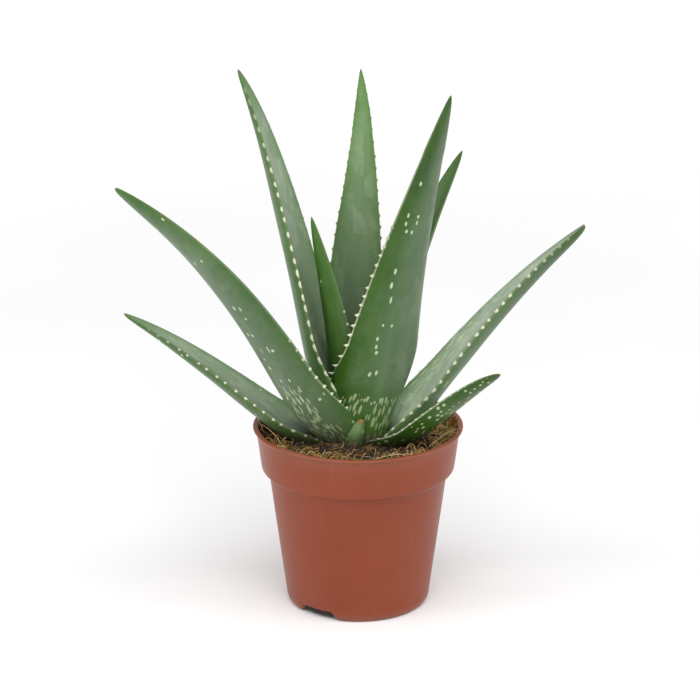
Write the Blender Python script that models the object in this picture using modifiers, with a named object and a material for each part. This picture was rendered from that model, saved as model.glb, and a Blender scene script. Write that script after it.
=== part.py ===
"""Potted aloe: ten toothed leaves round a short stem, potting soil, and a thin-walled nursery pot.

Metres, +Z up. The pot stands on z = 0 with its axis on the Z axis, and the plant's front faces -Y.
"""

import math

import bmesh
import bpy
import numpy as np
from mathutils import Vector, noise

MM = 0.001
GAP = 0.3 * MM  # clearance left between two pieces that touch

# The pot: a 12 cm nursery pot, one moulding of even wall thickness.
POT_WALL = 1.2 * MM
POT_STEPS = 48
POT_LIP_MM = [  # radius and height: the flange at the rim, from its inner edge out and down
    (57.6, 106.0),
    (59.7, 106.0),
    (60.0, 105.7),
    (60.0, 105.0),
    (59.6, 104.6),
    (58.5, 104.2),
]
POT_LIP_INNER_MM = (57.1, 105.2)
POT_OUTSIDE_MM = [  # from under the flange down the outside and in under the base
    (58.1, 103.2),
    (57.2, 96.6),
    (56.0, 87.0),
    (55.3, 82.4),
    (55.1, 81.4),
    (54.4, 80.6),
    (51.6, 78.9),
    (51.0, 77.8),
    (50.0, 70.4),
    (45.3, 35.0),
    (41.3, 5.6),
    (41.0, 3.4),
    (40.2, 1.4),
    (38.8, 0.3),
    (37.6, 0.0),
    (34.4, 0.0),
    (33.0, 1.4),
    (32.4, 5.0),
    (14.8, 5.0),
    (13.6, 1.0),
    (12.4, 0.0),
    (0.0, 0.0),
]
ARCH_AZIMUTHS = (234, 54)  # degrees round the foot, where it is lifted off the ground
ARCH_HEIGHT = 4.6 * MM
ARCH_HALF_WIDTH = 11.5 * MM
DRAIN_COUNT = 6
DRAIN_RADIUS = 3.5 * MM
DRAIN_CIRCLE = 23.0 * MM

# The soil: fills the pot to just under the lip, mounded a little towards the plant.
SOIL_TOP_MM = [(0.0, 100.6), (12.0, 100.4), (24.0, 99.9), (36.0, 99.3), (47.0, 98.6), (55.9, 97.8)]
SOIL_LUMP = 1.6 * MM
SOIL_STEPS = 48

# The stem: a short root crown that ends in the growing point.
STEM_MM = [
    (0.0, 108.0),
    (2.4, 107.2),
    (5.2, 104.0),
    (8.4, 99.6),
    (10.8, 95.0),
    (12.0, 89.0),
    (11.4, 80.0),
    (8.8, 70.0),
    (4.6, 62.0),
    (0.0, 59.0),
]
STEM_STEPS = 32

# The leaves. Each spine is a cubic Bezier in millimetres from the leaf's root to its tip.
# azimuth is the way the leaf leans, in degrees, and roll turns its blade about the spine:
# so much at the root and so much more by the tip. taper sets how the blade narrows, and
# clasp how tightly the root is bent round the stem. Innermost leaf first, because each
# leaf is cut back round the leaves before it.
LEAVES = {
    "leaf_inner_left": {
        "spine": ((-5, 0, 107), (-6, -3, 149), (-15.5, -7, 190), (-26, -10, 232.5)),
        "azimuth": 200, "half_width": 15.0, "thickness": 7.2,
        "taper": (1.50, 0.70), "roll": (14, 2), "clasp": 0.070,
    },
    "leaf_inner_right": {
        "spine": ((5, 3, 107), (14, 10, 161), (32, 23, 210), (59, 32, 259)),
        "azimuth": 30, "half_width": 15.0, "thickness": 8.0,
        "taper": (1.50, 0.67), "roll": (4, 4), "clasp": 0.075,
    },
    "leaf_back": {
        "spine": ((0, 9, 103), (-8, 23, 169), (6, 42, 232), (1.5, 58, 300)),
        "azimuth": 90, "half_width": 21.0, "thickness": 10.0,
        "taper": (1.38, 0.90), "roll": (0, 0), "clasp": 0.078,
    },
    "leaf_front_right": {
        "spine": ((5, -6, 99), (14, -12, 174), (30, -26.5, 238), (50, -34, 308)),
        "azimuth": 300, "half_width": 29.6, "thickness": 14.4,
        "taper": (0.95, 0.74), "roll": (-8, 22), "clasp": 0.075,
    },
    "leaf_left_tall": {
        "spine": ((-8, 3, 101), (-21.5, 3, 170), (-44, 5, 273), (-66.5, 6, 312.5)),
        "azimuth": 174, "half_width": 19.9, "thickness": 12.3,
        "taper": (1.55, 0.61), "roll": (-12, 4), "clasp": 0.070,
    },
    "leaf_right_long": {
        "spine": ((12, 1, 95), (49, 3, 142.5), (79, 5, 187), (127, 6, 223)),
        "azimuth": 2, "half_width": 15.5, "thickness": 11.4,
        "taper": (1.55, 0.41), "roll": (17, -28), "clasp": 0.065,
    },
    "leaf_left_broad": {
        "spine": ((-10, -7, 94), (-42.5, -31, 152.5), (-61, -53, 215), (-129.5, -76, 268)),
        "azimuth": 214, "half_width": 18.9, "thickness": 11.7,
        "taper": (0.95, 0.46), "roll": (20, -4), "clasp": 0.075,
    },
    "leaf_left_low": {
        "spine": ((-15, 1, 92), (-47.5, -5, 114.5), (-87.5, -8, 154), (-131.5, -12, 176.5)),
        "azimuth": 182, "half_width": 16.3, "thickness": 10.7,
        "taper": (1.45, 0.64), "roll": (-8, 5), "clasp": 0.060,
    },
    "leaf_right_low": {
        "spine": ((13, -8, 94), (36.5, -25, 113.5), (61, -37.5, 143), (77.5, -56, 156)),
        "azimuth": 322, "half_width": 15.3, "thickness": 6.2,
        "taper": (1.47, 0.52), "roll": (1, -22), "clasp": 0.060,
    },
    "leaf_front_stub": {
        "spine": ((-3, -16, 94), (-3, -18, 101), (-1, -20, 109), (2, -22, 117)),
        "azimuth": 283, "half_width": 6.2, "thickness": 4.6,
        "taper": (1.20, 0.45), "roll": (0, 0), "clasp": 0.050,
    },
}
CLASP_END = 0.30  # share of the leaf's length over which the root is bent round the stem
ROOT_THINNING = 0.5  # thickness at the very root, as a share of the blade's
ROOT_THIN_END = 0.22
BLADE_BEND = 0.004  # how far the whole blade stays channelled, per millimetre
UPPER_HOLLOW = 0.22  # depth of the channel along the upper face, as a share of thickness
ACROSS = (1.0, 0.82, 0.5, 0.17, -0.17, -0.5, -0.82, -1.0)  # section points, margin to margin
TOOTH_PITCH = 10.0 * MM
TOOTH_WIDTH = 3.0 * MM
TOOTH_HEIGHT = 1.3 * MM
TOOTHED = (0.12, 0.93)  # the stretch of the margin that has teeth
SMOOTH_STATIONS = 12  # sections in the leaf that has no teeth


def add_object(name, mesh, collection, material):
    obj = bpy.data.objects.new(name, mesh)
    collection.objects.link(obj)
    mesh.materials.append(material)
    return obj


def plain_material(name, colour, roughness):
    material = bpy.data.materials.new(name)
    material.use_nodes = True
    shader = material.node_tree.nodes["Principled BSDF"]
    shader.inputs["Base Color"].default_value = (*colour, 1.0)
    shader.inputs["Roughness"].default_value = roughness
    material.diffuse_color = (*colour, 1.0)
    return material


def cut(obj, cutters, solver="EXACT"):
    """Takes each cutter away from obj."""
    for cutter in cutters:
        modifier = obj.modifiers.new(f"cut_{cutter.name}", "BOOLEAN")
        modifier.operation = "DIFFERENCE"
        modifier.solver = solver
        modifier.object = cutter


def smoothstep(x):
    x = np.clip(x, 0.0, 1.0)
    return x * x * (3.0 - 2.0 * x)


# ---------------------------------------------------------------- turned shapes


def inset(outline, depth):
    """The outline moved in by depth, square to itself, as a wall of even thickness is."""
    moved = []
    for i, point in enumerate(outline):
        normals = []
        for a, b in zip(outline[max(i - 1, 0):i + 1], outline[max(i - 1, 0) + 1:i + 2]):
            along = (Vector(b) - Vector(a)).normalized()
            normals.append(Vector((along.y, -along.x)))
        mean = sum(normals, Vector((0.0, 0.0)))
        if point[0] == 0.0:
            mean.x = 0.0  # a point on the axis stays on it
        mean.normalize()
        moved.append(Vector(point) + mean * depth / mean.dot(normals[0]))
    return [(p.x, p.y) for p in moved]


def turned(name, profile, steps, collection, material, closed):
    """A profile in the XZ plane, turned about Z."""
    mesh = bpy.data.meshes.new(name)
    edges = [(i, i + 1) for i in range(len(profile) - 1)]
    if closed:
        edges.append((len(profile) - 1, 0))
    mesh.from_pydata([(r, 0.0, z) for r, z in profile], edges, [])
    obj = add_object(name, mesh, collection, material)
    screw = obj.modifiers.new("turn", "SCREW")
    screw.steps = screw.render_steps = steps
    screw.use_merge_vertices = True
    screw.merge_threshold = 0.00001
    screw.use_smooth_shade = True
    return obj


def arch_cutter(name, azimuth, collection, material):
    """A wedge with an arched top, lying across the foot ring at this azimuth."""
    half = [(1.25, -1.0), (1.12, 0.04), (1.0, 0.3), (0.86, 0.78), (0.72, 0.96), (0.5, 1.0)]
    outline = half + [(-x, z) for x, z in reversed(half)]
    points = []
    for radius in (27.0 * MM, 44.0 * MM):
        points += [(radius, x * ARCH_HALF_WIDTH, z * ARCH_HEIGHT) for x, z in outline]
    count = len(outline)
    faces = [tuple(reversed(range(count))), tuple(range(count, 2 * count))]
    for i in range(count):
        j = (i + 1) % count
        faces.append((i, j, count + j, count + i))
    mesh = bpy.data.meshes.new(name)
    mesh.from_pydata(points, [], faces)
    obj = add_object(name, mesh, collection, material)
    obj.rotation_euler.z = math.radians(azimuth)
    return obj


def drain_cutter(name, angle, collection, material):
    mesh = bpy.data.meshes.new(name)
    shape = bmesh.new()
    bmesh.ops.create_cone(
        shape, cap_ends=True, segments=20, radius1=DRAIN_RADIUS, radius2=DRAIN_RADIUS, depth=8 * MM
    )
    shape.to_mesh(mesh)
    shape.free()
    obj = add_object(name, mesh, collection, material)
    obj.location = (
        DRAIN_CIRCLE * math.cos(angle),
        DRAIN_CIRCLE * math.sin(angle),
        5.7 * MM,
    )
    return obj


def make_pot(collection, cutters, material, cutter_material):
    lip = [(r * MM, z * MM) for r, z in POT_LIP_MM]
    lip_inner = tuple(value * MM for value in POT_LIP_INNER_MM)
    outside = [(r * MM, z * MM) for r, z in POT_OUTSIDE_MM]
    profile = lip + outside + inset(outside, POT_WALL)[::-1] + [lip_inner]
    pot = turned("pot", profile, POT_STEPS, collection, material, closed=True)
    tools = [
        arch_cutter(f"arch_cutter_{azimuth}", azimuth, cutters, cutter_material)
        for azimuth in ARCH_AZIMUTHS
    ]
    for i in range(DRAIN_COUNT):
        angle = 2 * math.pi * i / DRAIN_COUNT
        tools.append(drain_cutter(f"drain_cutter_{i}", angle, cutters, cutter_material))
    cut(pot, tools)
    return pot


def make_soil(collection, material, tools):
    """Turned to fit the inside of the pot, with a lumpy top, and cut round the plant."""
    outside = [(r * MM, z * MM) for r, z in POT_OUTSIDE_MM]
    inside = inset(outside, POT_WALL + GAP)
    top = [(r * MM, z * MM) for r, z in SOIL_TOP_MM]
    profile = top + [(r, z) for r, z in inside if z < 95 * MM]
    shape = bmesh.new()
    points = [shape.verts.new((r, 0.0, z)) for r, z in profile]
    edges = [shape.edges.new(pair) for pair in zip(points, points[1:])]
    bmesh.ops.spin(
        shape, geom=points + edges, cent=(0, 0, 0), axis=(0, 0, 1),
        angle=2 * math.pi, steps=SOIL_STEPS, use_merge=True,
    )
    bmesh.ops.remove_doubles(shape, verts=shape.verts[:], dist=0.01 * MM)
    edge = top[-1][0]
    for point in shape.verts:
        reach = point.co.xy.length
        if point.co.z > 97.5 * MM:
            fade = 1.0 - smoothstep((reach / edge - 0.8) / 0.2)
            lump = noise.noise(Vector((point.co.x, point.co.y, 0.0)) / (11 * MM))
            point.co.z += float(fade) * SOIL_LUMP * lump
    bmesh.ops.recalc_face_normals(shape, faces=shape.faces[:])
    mesh = bpy.data.meshes.new("soil")
    shape.to_mesh(mesh)
    shape.free()
    mesh.shade_smooth()
    soil = add_object("soil", mesh, collection, material)
    cut(soil, tools, solver="MANIFOLD")
    return soil


# ---------------------------------------------------------------- leaves


def along_spine(spine, shares):
    """Points, directions and length of a Bezier spine at shares of its length."""
    p = np.array(spine, float) * MM
    t = np.linspace(0.0, 1.0, 400)[:, None]
    line = (1 - t) ** 3 * p[0] + 3 * (1 - t) ** 2 * t * p[1] + 3 * (1 - t) * t * t * p[2] + t ** 3 * p[3]
    steps = np.linalg.norm(np.diff(line, axis=0), axis=1)
    reach = np.concatenate([[0.0], np.cumsum(steps)])
    at = np.interp(shares, reach / reach[-1], t[:, 0])[:, None]
    points = (
        (1 - at) ** 3 * p[0] + 3 * (1 - at) ** 2 * at * p[1]
        + 3 * (1 - at) * at * at * p[2] + at ** 3 * p[3]
    )
    ahead = (
        (1 - at) ** 2 * (p[1] - p[0]) + 2 * (1 - at) * at * (p[2] - p[1]) + at * at * (p[3] - p[2])
    )
    return points, ahead / np.linalg.norm(ahead, axis=1)[:, None], reach[-1]


def stations(length, toothed):
    """Shares of the length at which the leaf has a section, and which of them are tooth points."""
    if not toothed:
        x = np.linspace(0.0, 1.0, SMOOTH_STATIONS)[:-1]
        return 1.0 - (1.0 - x) ** 1.15, np.zeros(SMOOTH_STATIONS - 1, bool)
    shares = [0.0, 0.03, 0.07]
    points = [False, False, False]
    count = max(int((TOOTHED[1] - TOOTHED[0]) * length / TOOTH_PITCH), 1)
    for tooth in np.linspace(TOOTHED[0], TOOTHED[1], count):
        half = 0.5 * TOOTH_WIDTH / length * (1.2 - 0.6 * tooth)
        shares += [tooth - half, tooth, tooth + half]
        points += [False, True, False]
    shares += [0.955, 0.985]
    points += [False, False]
    return np.array(shares), np.array(points)


def make_leaf_mesh(name, leaf, toothed, grow):
    """A lofted leaf: hollowed above, rounded below, its root bent round the stem.

    With grow it is the room the leaf takes from its neighbours: swollen by that much all
    over, and filled in level with its margins.
    """
    length = along_spine(leaf["spine"], np.array([0.0]))[2]
    shares, points = stations(length, toothed)
    centre, ahead, _ = along_spine(leaf["spine"], shares)
    lean = math.radians(leaf["azimuth"])
    side = np.array([-math.sin(lean), math.cos(lean), 0.0])
    side = side - (ahead @ side)[:, None] * ahead
    side /= np.linalg.norm(side, axis=1)[:, None]
    upper = np.cross(ahead, side)
    roll = np.radians(leaf["roll"][0] + leaf["roll"][1] * shares)[:, None]
    side, upper = (
        side * np.cos(roll) + upper * np.sin(roll),
        upper * np.cos(roll) - side * np.sin(roll),
    )
    narrow = (1.0 - shares ** leaf["taper"][0]) ** leaf["taper"][1]
    half = leaf["half_width"] * MM * narrow
    thinning = ROOT_THINNING + (1.0 - ROOT_THINNING) * smoothstep(shares / ROOT_THIN_END)
    thick = leaf["thickness"] * MM * thinning * narrow
    bend = (leaf["clasp"] * (1.0 - smoothstep(shares / CLASP_END)) + BLADE_BEND) / MM
    tooth = np.where(points, TOOTH_HEIGHT * (1.1 - 0.7 * shares), 0.0)
    if grow:
        tooth = np.full(len(shares), 1.2 * TOOTH_HEIGHT + grow)

    upper_points = len(ACROSS)
    across = np.array([ACROSS + ACROSS[-2:0:-1]])
    facing = np.sqrt(1.0 - across ** 2)
    facing[:, upper_points:] *= -1.0
    turn = (bend * half)[:, None] * across
    x = np.sin(turn) / bend[:, None]
    y = (1.0 - np.cos(turn)) / bend[:, None]
    rise = np.where(facing > 0, -UPPER_HOLLOW * facing ** 2, -np.abs(facing) ** 1.3)
    rise = rise * thick[:, None] + grow * np.clip(facing / 0.4, -1.0, 1.0)
    reach = tooth[:, None] * np.where(np.abs(across) > 0.999, np.sign(across), 0.0)
    x, y = (
        x - np.sin(turn) * rise + np.cos(turn) * reach,
        y + np.cos(turn) * rise + np.sin(turn) * reach,
    )
    if grow:
        filled = facing > 0.01
        x = np.where(filled, x[:, :1] * across, x)
        y = np.where(filled, np.maximum(y[:, :1], y) + grow * facing, y)
        centre = centre - ahead * np.where(shares == 0.0, GAP, 0.0)[:, None]
    rings = centre[:, None] + side[:, None] * x[..., None] + upper[:, None] * y[..., None]
    tip = centre[-1] + ahead[-1] * (1.0 - shares[-1]) * length
    vertices = np.concatenate([rings.reshape(-1, 3), tip[None]])

    count = across.size
    faces = []
    for i in range(len(shares) - 1):
        for j in range(count):
            near, far = i * count, (i + 1) * count
            k = (j + 1) % count
            faces += [(near + j, near + k, far + k), (near + j, far + k, far + j)]
    last = (len(shares) - 1) * count
    faces += [(last + j, last + (j + 1) % count, len(vertices) - 1) for j in range(count)]
    for j in range(count // 2):
        corners = (count - j) % count, count - j - 1, j + 1, j
        faces.append(tuple(dict.fromkeys(corners)))
    mesh = bpy.data.meshes.new(name)
    mesh.from_pydata([tuple(v) for v in vertices], [], faces)
    shape = bmesh.new()
    shape.from_mesh(mesh)
    bmesh.ops.recalc_face_normals(shape, faces=shape.faces[:])
    shape.to_mesh(mesh)
    shape.free()
    mesh.shade_smooth()
    return mesh


def build():
    for obj in list(bpy.data.objects):
        bpy.data.objects.remove(obj)
    plant = bpy.data.collections.new("potted_aloe")
    cutters = bpy.data.collections.new("cutters")
    bpy.context.scene.collection.children.link(plant)
    bpy.context.scene.collection.children.link(cutters)

    tool = plain_material("cutter", (0.8, 0.2, 0.2), 0.5)
    make_pot(plant, cutters, plain_material("pot", (0.30, 0.088, 0.045), 0.42), tool)

    profile = [(r * MM, z * MM) for r, z in STEM_MM]
    stem_skin = plain_material("stem", (0.42, 0.46, 0.22), 0.6)
    turned("stem", profile, STEM_STEPS, plant, stem_skin, closed=False)
    swollen = [(r, z) for r, z in inset(profile, -GAP)]
    stem_cutter = turned("stem_cutter", swollen, STEM_STEPS, cutters, tool, closed=False)

    tools = [stem_cutter]
    for name, leaf in LEAVES.items():
        skin = plain_material(name, (0.085, 0.19, 0.075), 0.45)
        toothed = name != "leaf_front_stub"
        blade = add_object(name, make_leaf_mesh(name, leaf, toothed, 0.0), plant, skin)
        cut(blade, tools, solver="MANIFOLD")
        mesh = make_leaf_mesh(f"{name}_cutter", leaf, toothed, GAP)
        tools.append(add_object(f"{name}_cutter", mesh, cutters, tool))
    make_soil(plant, plain_material("soil", (0.045, 0.028, 0.018), 0.95), tools)

    for obj in cutters.objects:
        obj.hide_render = True
        obj.display_type = "WIRE"


build()
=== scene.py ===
"""Potted aloe: the finished looks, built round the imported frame.

The axes are the frame's: +Z up, the plant's front facing -Y. Design values are in millimetres
unless a comment says otherwise, and meshes in metres. Each leaf is a fine loft on the spine it
has in the CAD, with its own skin material, which reads the leaf's colour zones from mesh
attributes.
"""

import math

import bmesh
import bpy
import numpy as np
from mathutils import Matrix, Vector, noise


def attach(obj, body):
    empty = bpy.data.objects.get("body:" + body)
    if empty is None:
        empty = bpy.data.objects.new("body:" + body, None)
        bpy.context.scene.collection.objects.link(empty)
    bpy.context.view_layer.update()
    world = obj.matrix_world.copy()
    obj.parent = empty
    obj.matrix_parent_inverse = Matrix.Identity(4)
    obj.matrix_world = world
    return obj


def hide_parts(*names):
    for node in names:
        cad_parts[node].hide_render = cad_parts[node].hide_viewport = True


MM = 0.001
SEED = 8207

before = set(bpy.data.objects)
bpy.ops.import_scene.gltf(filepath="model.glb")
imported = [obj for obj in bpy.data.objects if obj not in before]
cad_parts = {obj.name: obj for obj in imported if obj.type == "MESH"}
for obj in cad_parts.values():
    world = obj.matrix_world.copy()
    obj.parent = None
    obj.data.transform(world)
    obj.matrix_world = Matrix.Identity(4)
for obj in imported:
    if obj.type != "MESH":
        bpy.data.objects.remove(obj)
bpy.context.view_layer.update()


# ---------------------------------------------------------------- leaves: design values

# What each leaf's values mean, lengths in millimetres and angles in degrees:
# spine        four points of a curve from root to tip
# azimuth      the way the leaf leans
# half, thick  half the blade's width, and its thickness
# taper, clasp how the blade narrows, and how tightly its root is bent round the stem
# roll         turn of the blade about its spine: at the root, and added by the tip
# narrowing    how much of the blade's width is missing at the root, on the (+, -) side
# blunt        how far the tip is rounded off
# rim          how pale the (+, -) margin itself is
# margins      for the (+, -) margin: height of its teeth, where along the leaf they end, half
#              length and half width of a tooth's mark, spacing, and how pale the marks are,
#              below zero for brown ones
# deep         from grey green (0) to full green (1)
# bloom, drift the waxy film on the (upper, lower) face, and how much more of it there is towards
#              the + margin of the lower face, where it is part pale film and part painted sheen
# painted_shading, rise   painted light and shade: the (upper, lower) face made lighter or darker as
#              light falls on it, and how much that grows from root to tip
# dots         how many round spots there are all over the lower face
# chalk        lightness of the pale spots and streaks
# green_foot   how much of the film is missing near the base, and how much painted light brightens it there
# broken       the end is broken off and dried
USUAL_LEAF = dict(
    narrowing=(0.0, 0.0), drift=0.0, rise=0.0, dots=0.0, chalk=1.0, green_foot=0.0, broken=False
)
LEAVES = {
    "leaf_inner_left": dict(
        spine=((-5, 0, 107), (-6, -3, 149), (-15.5, -7, 190), (-26, -10, 232.5)),
        azimuth=200, half=15.0, thick=7.2, taper=(1.50, 0.70), roll=(14, 2), clasp=0.070,
        blunt=0.4, rim=(0.25, 0.1),
        deep=0.95, bloom=(0.05, 0.03), drift=0.10,
        margins=((2.2, 0.64, 1.2, 0.45, 7.5, 1.0), (0.5, 0.30, 0.8, 0.35, 8.0, 0.5)),
        painted_shading=(1.15, 1.25),
    ),
    "leaf_inner_right": dict(
        spine=((5, 3, 107), (14, 10, 161), (32, 23, 210), (59, 32, 259)),
        azimuth=30, half=15.0, thick=8.0, taper=(1.50, 0.67), roll=(4, 4), clasp=0.075,
        blunt=0.4, rim=(0.2, 0.3),
        deep=0.80, bloom=(0.15, 0.10), dots=0.02,
        margins=((0.9, 0.60, 0.8, 0.35, 7.0, 0.4), (0.9, 0.60, 0.8, 0.35, 7.0, 0.4)),
        painted_shading=(1.0, 1.0),
    ),
    "leaf_back": dict(
        spine=((0, 9, 103), (-8, 23, 169), (6, 42, 232), (1.5, 58, 300)),
        azimuth=90, half=21.0, thick=10.0, taper=(1.38, 0.90), roll=(0, 0), clasp=0.078,
        blunt=2.1, rim=(0.1, 0.3),
        deep=0.78, bloom=(0.40, 0.30),
        margins=((1.3, 0.99, 0.9, 0.45, 7.2, -0.6), (1.6, 0.99, 0.9, 0.45, 6.6, -0.7)),
        painted_shading=(1.12, 1.0), rise=1.05,
    ),
    "leaf_front_right": dict(
        spine=((5, -6, 99), (14, -12, 174), (30, -26.5, 238), (50, -34, 308)),
        azimuth=300, half=29.6, thick=14.4, taper=(0.95, 0.74), roll=(-8, 22), clasp=0.075,
        narrowing=(0.50, 0.0), blunt=2.6, rim=(0.15, 0.75),
        deep=0.50, bloom=(0.35, 0.22), drift=0.36,
        margins=((0.8, 0.60, 0.8, 0.40, 7.0, 0.5), (4.3, 0.66, 1.5, 0.50, 6.6, 1.0)),
        painted_shading=(1.0, 0.88), rise=-0.30, green_foot=0.9,
    ),
    "leaf_left_tall": dict(
        spine=((-8, 3, 101), (-21.5, 3, 170), (-44, 5, 273), (-66.5, 6, 312.5)),
        azimuth=174, half=19.9, thick=12.3, taper=(1.55, 0.61), roll=(-12, 4), clasp=0.070,
        narrowing=(0.0, 0.35), blunt=0.5, rim=(0.12, 0.15),
        deep=0.50, bloom=(0.62, 0.42), drift=-0.15,
        margins=((0.4, 0.99, 2.7, 0.42, 7.4, 1.0), (1.3, 0.90, 0.9, 0.30, 8.0, 0.4)),
        painted_shading=(1.35, 1.12),
    ),
    "leaf_right_long": dict(
        spine=((12, 1, 95), (49, 3, 142.5), (79, 5, 187), (127, 6, 223)),
        azimuth=2, half=15.5, thick=11.4, taper=(1.55, 0.41), roll=(17, -28), clasp=0.065,
        narrowing=(0.35, 0.0), blunt=0.5, rim=(0.15, 0.15),
        deep=0.22, bloom=(0.98, 0.35),
        margins=((1.0, 0.50, 0.8, 0.40, 7.0, 0.5), (0.5, 0.99, 1.6, 0.43, 6.8, 0.95)),
        painted_shading=(1.85, 1.0), rise=-0.55, chalk=1.35,
    ),
    "leaf_left_broad": dict(
        spine=((-10, -7, 94), (-42.5, -31, 152.5), (-61, -53, 215), (-129.5, -76, 268)),
        azimuth=214, half=18.9, thick=11.7, taper=(0.95, 0.46), roll=(20, -4), clasp=0.075,
        narrowing=(0.0, 0.30), blunt=0.5, rim=(0.28, 0.2),
        deep=0.36, bloom=(0.60, 0.44), drift=-0.22, dots=0.04,
        margins=((2.0, 0.42, 1.1, 0.50, 7.5, 1.0), (0.6, 0.60, 0.8, 0.40, 8.0, 0.4)),
        painted_shading=(1.0, 0.93), rise=0.35,
    ),
    "leaf_left_low": dict(
        spine=((-15, 1, 92), (-47.5, -5, 114.5), (-87.5, -8, 154), (-131.5, -12, 176.5)),
        azimuth=182, half=16.3, thick=10.7, taper=(1.45, 0.64), roll=(-8, 5), clasp=0.060,
        blunt=0.5, rim=(0.10, 0.10),
        deep=0.55, bloom=(0.70, 0.30), dots=0.05,
        margins=((0.5, 0.95, 1.2, 0.40, 6.4, 0.95), (0.7, 0.60, 0.8, 0.40, 8.0, 0.4)),
        painted_shading=(1.5, 1.0),
    ),
    "leaf_right_low": dict(
        spine=((13, -8, 94), (36.5, -25, 113.5), (61, -37.5, 143), (77.5, -56, 156)),
        azimuth=322, half=15.3, thick=6.2, taper=(1.47, 0.52), roll=(1, -22), clasp=0.060,
        blunt=0.5, rim=(0.2, 0.45),
        deep=1.0, bloom=(0.15, 0.0), dots=0.50,
        margins=((0.9, 0.90, 0.8, 0.40, 7.0, 0.6), (1.2, 0.95, 0.9, 0.38, 5.4, 0.85)),
        painted_shading=(1.0, 0.8), chalk=0.88,
    ),
    "leaf_front_stub": dict(
        spine=((-3, -16, 94), (-3, -18, 101), (-1, -20, 109), (2, -22, 117)),
        azimuth=283, half=6.2, thick=4.6, taper=(1.20, 0.45), roll=(0, 0), clasp=0.050,
        blunt=0.3, rim=(0.4, 0.1),
        deep=0.70, bloom=(0.35, 0.40), dots=0.30,
        margins=((0.8, 0.90, 0.7, 0.40, 5.0, 1.0), (0.4, 0.90, 0.5, 0.30, 6.0, 0.5)),
        painted_shading=(1.5, 1.9), broken=True,
    ),
}
CLASP_END = 0.30  # where along the leaf its root's bend ends
ROOT_THINNING = 0.5  # thickness at the very root, as a share of the blade's
ROOT_THIN_END = 0.22
BLADE_BEND = 0.004
UPPER_HOLLOW = 0.22  # depth of the channel along the upper face, as a share of thickness
NARROWING_END = 0.28
BLUNT_START = 0.80
BLUNT_THICKNESS = 0.7  # thickness of the rounded tip, as a share of its half width

RING_HALF = 76  # section points on each face, margin to margin
MARGIN_CROWDING = 0.88  # how much closer together the section points are at the margins
STATION_GAP = 0.42 * MM
STATION_CROWDING = 1.15  # above 1, the stations are closer together towards the tip
WIDTH_WOBBLE = 0.018
BRIM = 0.35  # thickness that each face keeps out to the margins, millimetres
SWELLING = 0.12  # height of the shallow dents and swellings, millimetres
CRUMBLED_ROWS = 14  # stations at a broken end that are ragged
CRUMBLE = 0.9  # how ragged, in millimetres
TOOTH_BASE = 3.3  # width of a tooth where it leaves the margin, millimetres
TOOTH_ROOT = 0.9  # how far into the blade the margin moves with the tooth, millimetres
MARGIN_GREEN = 3.5  # width of the greener band along the margins, millimetres
NO_MARK = 9.0  # a distance to the nearest tooth at which no mark is drawn

# The skin's noise reads a point's place on the leaf. No two leaves and no two faces share one.
LEAF_PITCH = 60.0
UPPER_PLACE = 9.0
PAINTED_SHADING_RANGE = 4.0  # attributes run from 0 to 1, and the painted light and shade from 0 to this

# Where the pale streaks lie thick: face (+1 upper, -1 lower), (start, end) along the leaf,
# (start, end) across it from -1 to +1, and the share of places that hold a streak.
STREAKS = {
    "leaf_front_right": [
        (-1, (0.035, 0.145), (-0.66, 0.80), 0.92), (-1, (0.0, 0.07), (-0.30, 0.70), 0.70),
    ],
    "leaf_left_broad": [(-1, (0.03, 0.27), (-0.15, 0.52), 0.70)],
    "leaf_right_long": [(1, (0.12, 0.50), (0.05, 0.92), 0.42), (-1, (0.05, 0.4), (-0.9, 0.1), 0.15)],
    "leaf_left_low": [(-1, (0.05, 0.35), (-0.2, 0.6), 0.20)],
    "leaf_left_tall": [(-1, (0.05, 0.30), (-0.5, 0.6), 0.30)],
    "leaf_inner_right": [(-1, (0.05, 0.40), (-0.6, 0.6), 0.30)],
    "leaf_back": [(-1, (0.05, 0.40), (-0.6, 0.6), 0.40)],
}
# Streaks to the millimetre, across and along the leaf.
USUAL_STREAKS = (1.1, 0.17)
STREAK_SCALE = {
    "leaf_front_right": (0.80, 0.115), "leaf_left_broad": (1.45, 0.13),
    "leaf_right_long": (1.15, 0.10),
}
# Groups of spots that stand out, all on the lower face: the middle of the group along the leaf
# and across it, how many spots it has in line and side by side, and a spot's usual length and
# width in millimetres.
SPOT_GROUPS = {
    "leaf_front_right": [
        (0.22, -0.33, 1, 2, (3.0, 1.3)), (0.30, -0.43, 3, 1, (2.7, 1.6)),
        (0.36, -0.33, 1, 2, (2.3, 1.4)), (0.475, -0.47, 3, 1, (5.0, 1.4)),
        (0.65, -0.45, 3, 2, (2.8, 1.3)), (0.76, -0.60, 1, 1, (3.4, 1.5)),
    ],
    "leaf_left_broad": [
        (0.30, 0.18, 1, 2, (3.3, 0.9)), (0.41, 0.14, 1, 2, (5.5, 0.7)),
        (0.55, 0.25, 1, 2, (3.2, 1.3)), (0.72, 0.32, 1, 2, (2.4, 1.2)),
    ],
    "leaf_right_low": [(0.13, 0.68, 2, 1, (4.0, 1.5)), (0.35, -0.60, 1, 1, (3.0, 1.4))],
    "leaf_inner_left": [(0.70, 0.0, 1, 1, (3.0, 1.3))],
}
SPOT_PITCH = (1.55, 4.2)  # along, in spot lengths, and across, in millimetres


def smoothstep(x):
    x = np.clip(x, 0.0, 1.0)
    return x * x * (3.0 - 2.0 * x)


# ---------------------------------------------------------------- shader helpers


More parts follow.
